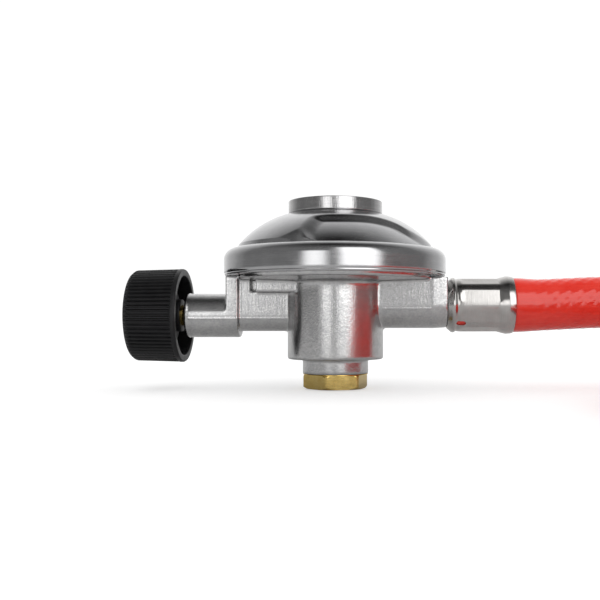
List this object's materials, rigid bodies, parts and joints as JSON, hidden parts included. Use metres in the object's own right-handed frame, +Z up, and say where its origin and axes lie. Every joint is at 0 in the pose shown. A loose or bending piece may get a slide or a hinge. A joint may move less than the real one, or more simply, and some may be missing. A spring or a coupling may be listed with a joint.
{
  "type": "propane regulator hose",
  "caption": "Low-pressure gas regulator with a shut-off tap, brass cylinder connector and a crimped red rubber hose ending in a brass swivel nut.",
  "frame": {"origin": "centre of the inlet connector's threaded hole, in the connector's lower face", "axes": "+Z up along the vertical boss, +X towards the hose outlet, -Y towards the front"},
  "size_m": [0.3086, 0.1919, 0.0553],
  "materials": {
    "cast_alloy": "die-cast, lightly blasted",
    "bonnet_metal": "polished",
    "machined_cap": "turned",
    "plated_steel": "zinc plated",
    "spring_steel": "drawn wire",
    "stainless": "crimped sheet",
    "brass": "machined",
    "sintered_bronze": "sintered",
    "diaphragm_rubber": "matte",
    "seal_rubber": "matte",
    "knob_plastic": "fine ribs",
    "hose_red": "glossy, braid showing through"
  },
  "bodies": {
    "regulator": {"body": "cast_alloy", "bonnet": "bonnet_metal", "top_cap": "machined_cap", "adjusting_screw": "plated_steel", "main_spring": "spring_steel", "diaphragm": "diaphragm_rubber", "lever_pin": "plated_steel", "jet": "brass", "inlet_connector": "brass", "inlet_seal": "seal_rubber", "inlet_filter": "sintered_bronze", "tap_bush": "brass", "hose_tail": "brass", "ferrule": "stainless", "hose_socket": "hose_red", "hose_run": "hose_red", "hose_coil": "hose_red", "hose_end_run": "hose_red", "far_hose_socket": "hose_red", "far_ferrule": "stainless", "far_stem": "brass"},
    "tap_closer": {"tap_pad": "seal_rubber"},
    "tap_handle": {"tap_spindle": "brass", "tap_o_ring": "seal_rubber", "tap_knob": "knob_plastic", "knob_screw": "plated_steel"},
    "diaphragm_stack": {"diaphragm_plate": "plated_steel", "diaphragm_washer": "plated_steel", "diaphragm_post": "brass", "diaphragm_nut": "plated_steel"},
    "valve_lever": {"lever": "plated_steel", "valve_pad": "seal_rubber"},
    "outlet_nut": {"swivel_nut": "brass"}
  },
  "joints": [
    {"name": "tap_travel", "type": "slide", "parent": "regulator", "child": "tap_closer", "axis": [-1, 0, 0], "range_m": [0, 0.0015]},
    {"name": "tap_turn", "type": "hinge", "parent": "tap_closer", "child": "tap_handle", "pos_m": [-0.05, 0, 0.0216], "axis": [-1, 0, 0], "range_deg": [0, 541]},
    {"name": "diaphragm_lift", "type": "slide", "parent": "regulator", "child": "diaphragm_stack", "axis": [0, 0, 1], "range_m": [0, 0.002], "stiffness_N_per_m": 3000, "springref_m": -0.004, "deforming": ["main_spring", "diaphragm"]},
    {"name": "lever_turn", "type": "hinge", "parent": "regulator", "child": "valve_lever", "pos_m": [-0.0062, 0, 0.0315], "axis": [0, -1, 0], "range_deg": [0, 18.7]},
    {"name": "nut_spin", "type": "hinge", "parent": "regulator", "child": "outlet_nut", "pos_m": [0.2375, -0.13, 0.0113], "axis": [0, -1, 0], "continuous": true}
  ],
  "couplings": [
    {"joint": "tap_turn", "follows": "tap_travel", "rad_per_m": 6283.2},
    {"joint": "lever_turn", "follows": "diaphragm_lift", "rad_per_m": 162}
  ]
}
